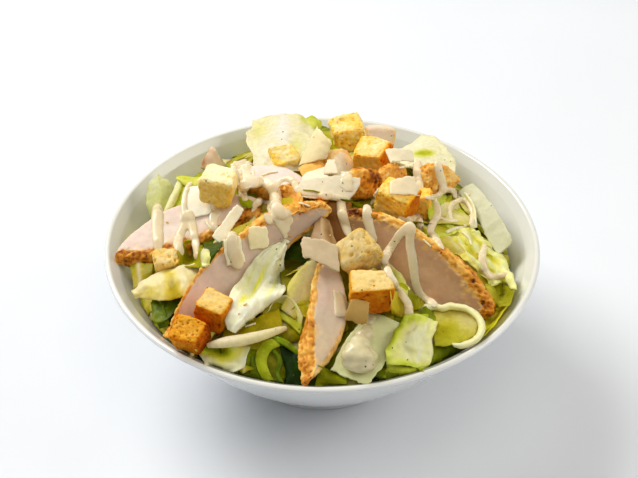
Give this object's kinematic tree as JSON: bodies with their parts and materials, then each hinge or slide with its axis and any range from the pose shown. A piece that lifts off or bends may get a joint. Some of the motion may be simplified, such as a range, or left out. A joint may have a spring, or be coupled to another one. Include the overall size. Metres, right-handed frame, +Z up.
{
  "type": "chicken caesar salad in a bowl",
  "caption": "Round white footed bowl heaped with romaine, topped with sliced chicken breast, croutons, cheese shavings and creamy dressing.",
  "frame": {"origin": "centre of the bowl's foot ring, on the surface it stands on", "axes": "+Z up along the bowl's axis; -Y towards the diner's side, where the leaves come right up to the rim; +X to the diner's right"},
  "size_m": [0.2296, 0.2296, 0.1243],
  "materials": {
    "glaze": "glossy white glaze",
    "leaf": "moist satin leaf",
    "chicken": "moist satin cut face with a browned skin edge",
    "crouton": "dry matt toasted crumb",
    "cheese": "satin, slightly waxy",
    "dressing": "glossy and creamy"
  },
  "bodies": {
    "root": {"bowl": "glaze", "chicken_a": "chicken", "chicken_b": "chicken", "chicken_c": "chicken", "chicken_d": "chicken", "chicken_e": "chicken", "chicken_f": "chicken", "chicken_g": "chicken", "chicken_h": "chicken", "chicken_i": "chicken", "chicken_j": "chicken", "chicken_k": "chicken", "chicken_l": "chicken", "crouton_01": "crouton", "crouton_02": "crouton", "crouton_03": "crouton", "crouton_04": "crouton", "crouton_05": "crouton", "crouton_06": "crouton", "crouton_07": "crouton", "crouton_08": "crouton", "crouton_09": "crouton", "crouton_10": "crouton", "crouton_11": "crouton", "shaving_01": "cheese", "shaving_02": "cheese", "shaving_03": "cheese", "shaving_04": "cheese", "shaving_05": "cheese", "shaving_06": "cheese", "shaving_07": "cheese", "shaving_08": "cheese", "shaving_09": "cheese", "shaving_10": "cheese", "shaving_11": "cheese", "shaving_12": "cheese", "shaving_13": "cheese", "shaving_14": "cheese", "shaving_15": "cheese", "shaving_16": "cheese", "dressing_dollop": "dressing", "lettuce_heap": "leaf"}
  },
  "joints": []
}
